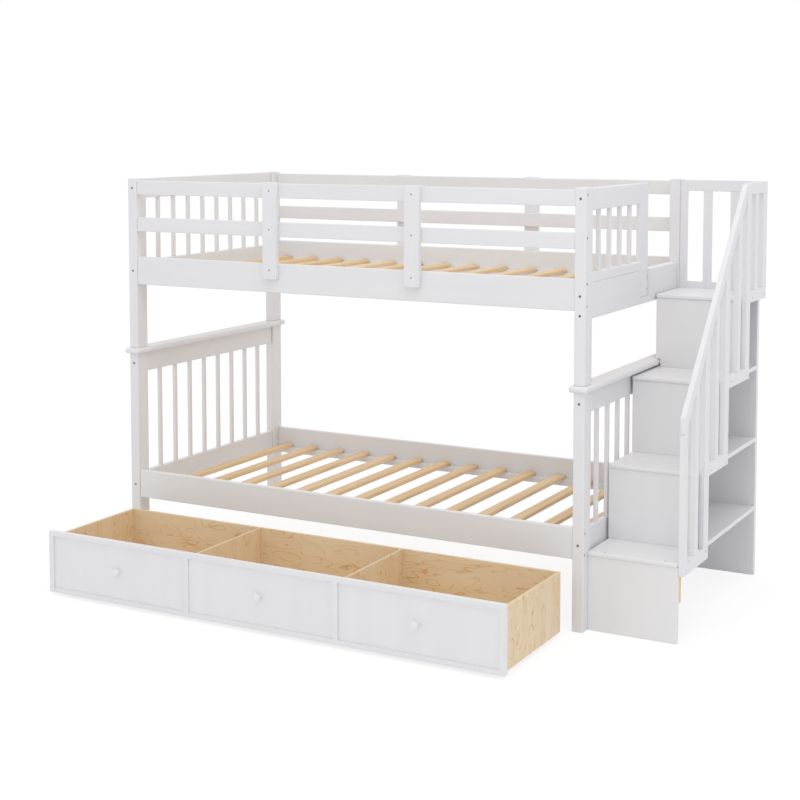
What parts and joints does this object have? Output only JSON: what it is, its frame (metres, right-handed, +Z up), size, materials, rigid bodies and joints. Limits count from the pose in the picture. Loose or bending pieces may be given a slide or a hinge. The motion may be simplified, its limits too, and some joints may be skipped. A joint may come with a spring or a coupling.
{
  "type": "bunk bed with storage stairs",
  "caption": "Painted wooden bunk bed with slatted berths, guard rails, a long rolling drawer drawn out in front, and a railed storage staircase at one end.",
  "frame": {"origin": "on the floor, at the middle of the front left post's foot", "axes": "+X along the bed towards the stairs, +Y from the drawer side to the back, +Z up"},
  "size_m": [2.365, 1.663, 1.574],
  "materials": {
    "white_paint": "satin white paint over wood",
    "pine": "bare sanded pine",
    "plywood": "clear-coated plywood",
    "steel": "zinc plated",
    "wheel_plastic": "moulded"
  },
  "bodies": {
    "bed_and_stairs": {"lower_posts": "white_paint", "upper_posts": "white_paint", "end_caps": "white_paint", "lower_end_top_rails": "white_paint", "lower_end_bottom_rails": "white_paint", "lower_spindles": "white_paint", "upper_left_rails": "white_paint", "upper_left_spindles": "white_paint", "entry_end_board": "white_paint", "entry_facing": "white_paint", "entry_stile": "white_paint", "entry_guard_rails": "white_paint", "entry_spindles": "white_paint", "lower_side_rails": "white_paint", "upper_side_rails": "white_paint", "guard_rails": "white_paint", "guard_battens": "white_paint", "slat_cleats": "white_paint", "stair_riser_1": "white_paint", "stair_riser_2": "white_paint", "stair_riser_3": "white_paint", "stair_riser_4": "white_paint", "stair_tread_1": "white_paint", "stair_tread_2": "white_paint", "stair_tread_3": "white_paint", "stair_platform": "white_paint", "stair_shelves": "white_paint", "stair_side_panel": "white_paint", "stair_back_panel": "white_paint", "stair_back_stile": "white_paint", "stair_handrail": "white_paint", "stair_guard_posts": "white_paint", "stair_guard_rails": "white_paint", "stair_balusters": "white_paint", "gate_frame": "white_paint", "gate_slats": "white_paint", "lower_slats": "pine", "upper_slats": "pine", "stair_cleats": "pine", "side_rail_bolts": "steel", "end_rail_bolts": "steel", "barrel_nuts": "steel", "wood_screws": "steel", "post_pins": "steel"},
    "drawer": {"drawer_front_frame": "white_paint", "drawer_panels": "white_paint", "drawer_knobs": "white_paint", "drawer_sides": "plywood", "drawer_back": "plywood", "drawer_bottom": "plywood", "drawer_dividers": "plywood", "knob_screws": "steel", "caster_forks": "steel", "caster_axles": "steel"},
    "wheel_front_left": {"caster_wheel_front_left": "wheel_plastic"},
    "wheel_front_right": {"caster_wheel_front_right": "wheel_plastic"},
    "wheel_back_left": {"caster_wheel_back_left": "wheel_plastic"},
    "wheel_back_right": {"caster_wheel_back_right": "wheel_plastic"}
  },
  "joints": [
    {"name": "drawer_slide", "type": "slide", "parent": "bed_and_stairs", "child": "drawer", "axis": [0, 1, 0], "range_m": [0, 0.56]},
    {"name": "wheel_front_left_spin", "type": "hinge", "parent": "drawer", "child": "wheel_front_left", "pos_m": [0.187, -0.4985, 0.02], "axis": [1, 0, 0], "range_deg": [-1605, 0]},
    {"name": "wheel_front_right_spin", "type": "hinge", "parent": "drawer", "child": "wheel_front_right", "pos_m": [1.771, -0.4985, 0.02], "axis": [1, 0, 0], "range_deg": [-1605, 0]},
    {"name": "wheel_back_left_spin", "type": "hinge", "parent": "drawer", "child": "wheel_back_left", "pos_m": [0.187, -0.1665, 0.02], "axis": [1, 0, 0], "range_deg": [-1605, 0]},
    {"name": "wheel_back_right_spin", "type": "hinge", "parent": "drawer", "child": "wheel_back_right", "pos_m": [1.771, -0.1665, 0.02], "axis": [1, 0, 0], "range_deg": [-1605, 0]}
  ],
  "couplings": [
    {"joint": "wheel_front_left_spin", "follows": "drawer_slide", "rad_per_m": -50},
    {"joint": "wheel_front_right_spin", "follows": "drawer_slide", "rad_per_m": -50},
    {"joint": "wheel_back_left_spin", "follows": "drawer_slide", "rad_per_m": -50},
    {"joint": "wheel_back_right_spin", "follows": "drawer_slide", "rad_per_m": -50}
  ]
}
